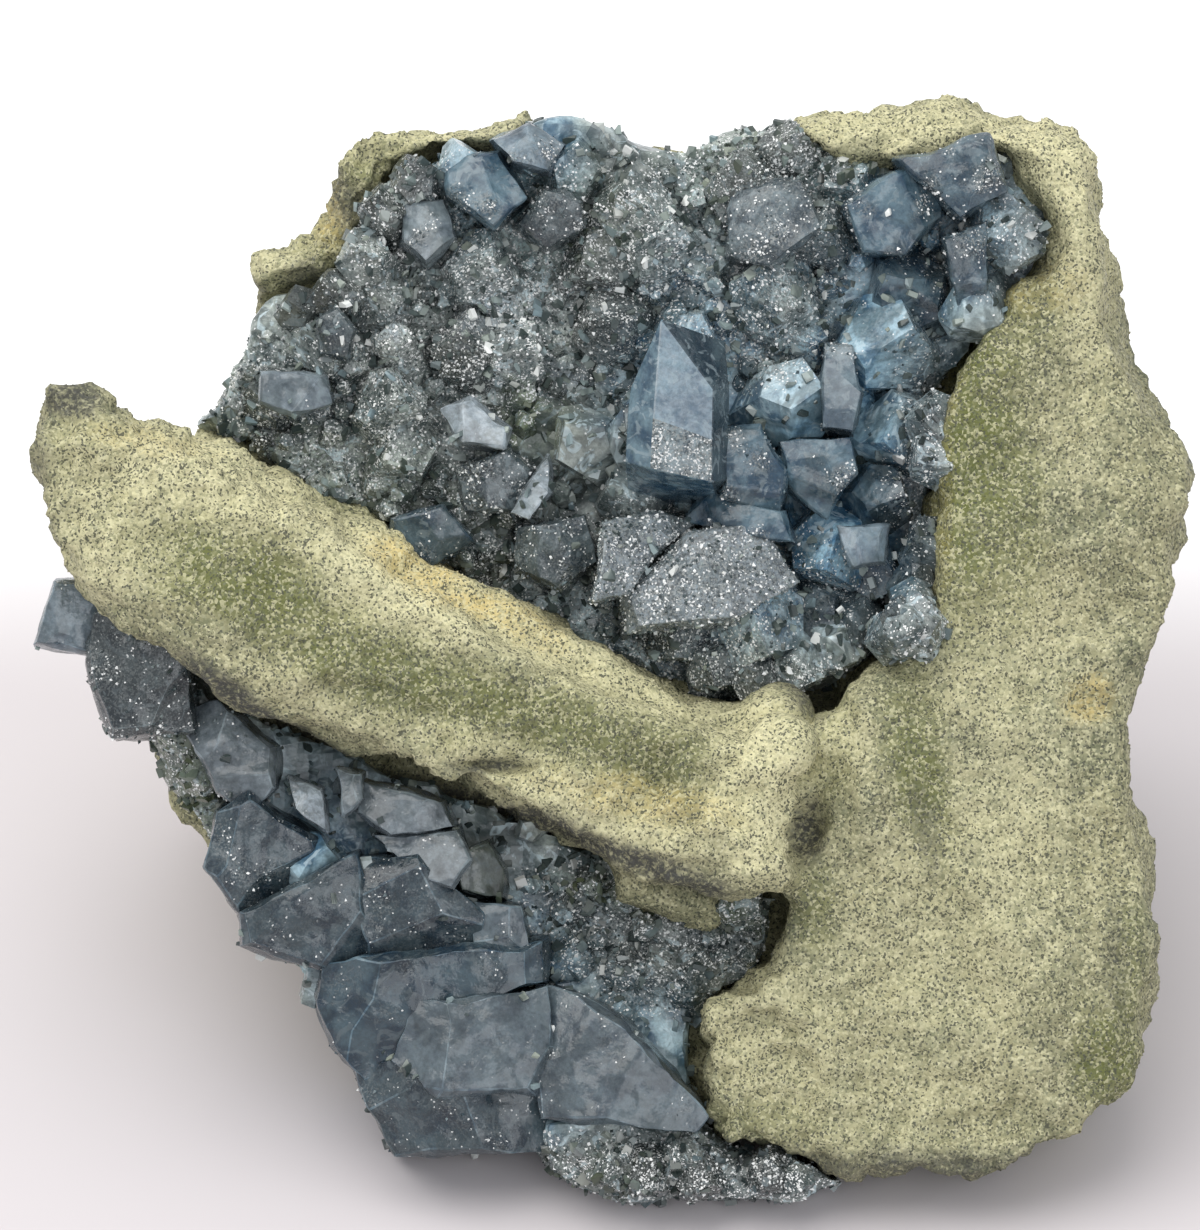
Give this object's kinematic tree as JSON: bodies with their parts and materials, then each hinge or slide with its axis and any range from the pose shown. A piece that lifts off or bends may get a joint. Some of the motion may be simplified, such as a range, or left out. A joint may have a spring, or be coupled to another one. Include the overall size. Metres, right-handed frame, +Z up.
{
  "type": "blue quartz specimen",
  "caption": "Natural mineral specimen: drusy blue-grey quartz crystals grown in hollows on a block of pale granular rock, standing on its broken base.",
  "frame": {"origin": "on the flat base, under the middle of the crystal face", "axes": "+Z up from the base, +X to the right of the crystal face, -Y towards the side that the crystal face looks to"},
  "size_m": [0.0877, 0.0695, 0.0667],
  "materials": {
    "granular_rock": "pale yellow-green, granular, matt",
    "blue_quartz": "blue-grey, cloudy, glossy crystal faces"
  },
  "bodies": {
    "root": {"host_rock": "granular_rock", "upper_crystal_bed": "blue_quartz", "lower_crystal_bed": "blue_quartz", "side_crystal_cluster": "blue_quartz"}
  },
  "joints": []
}
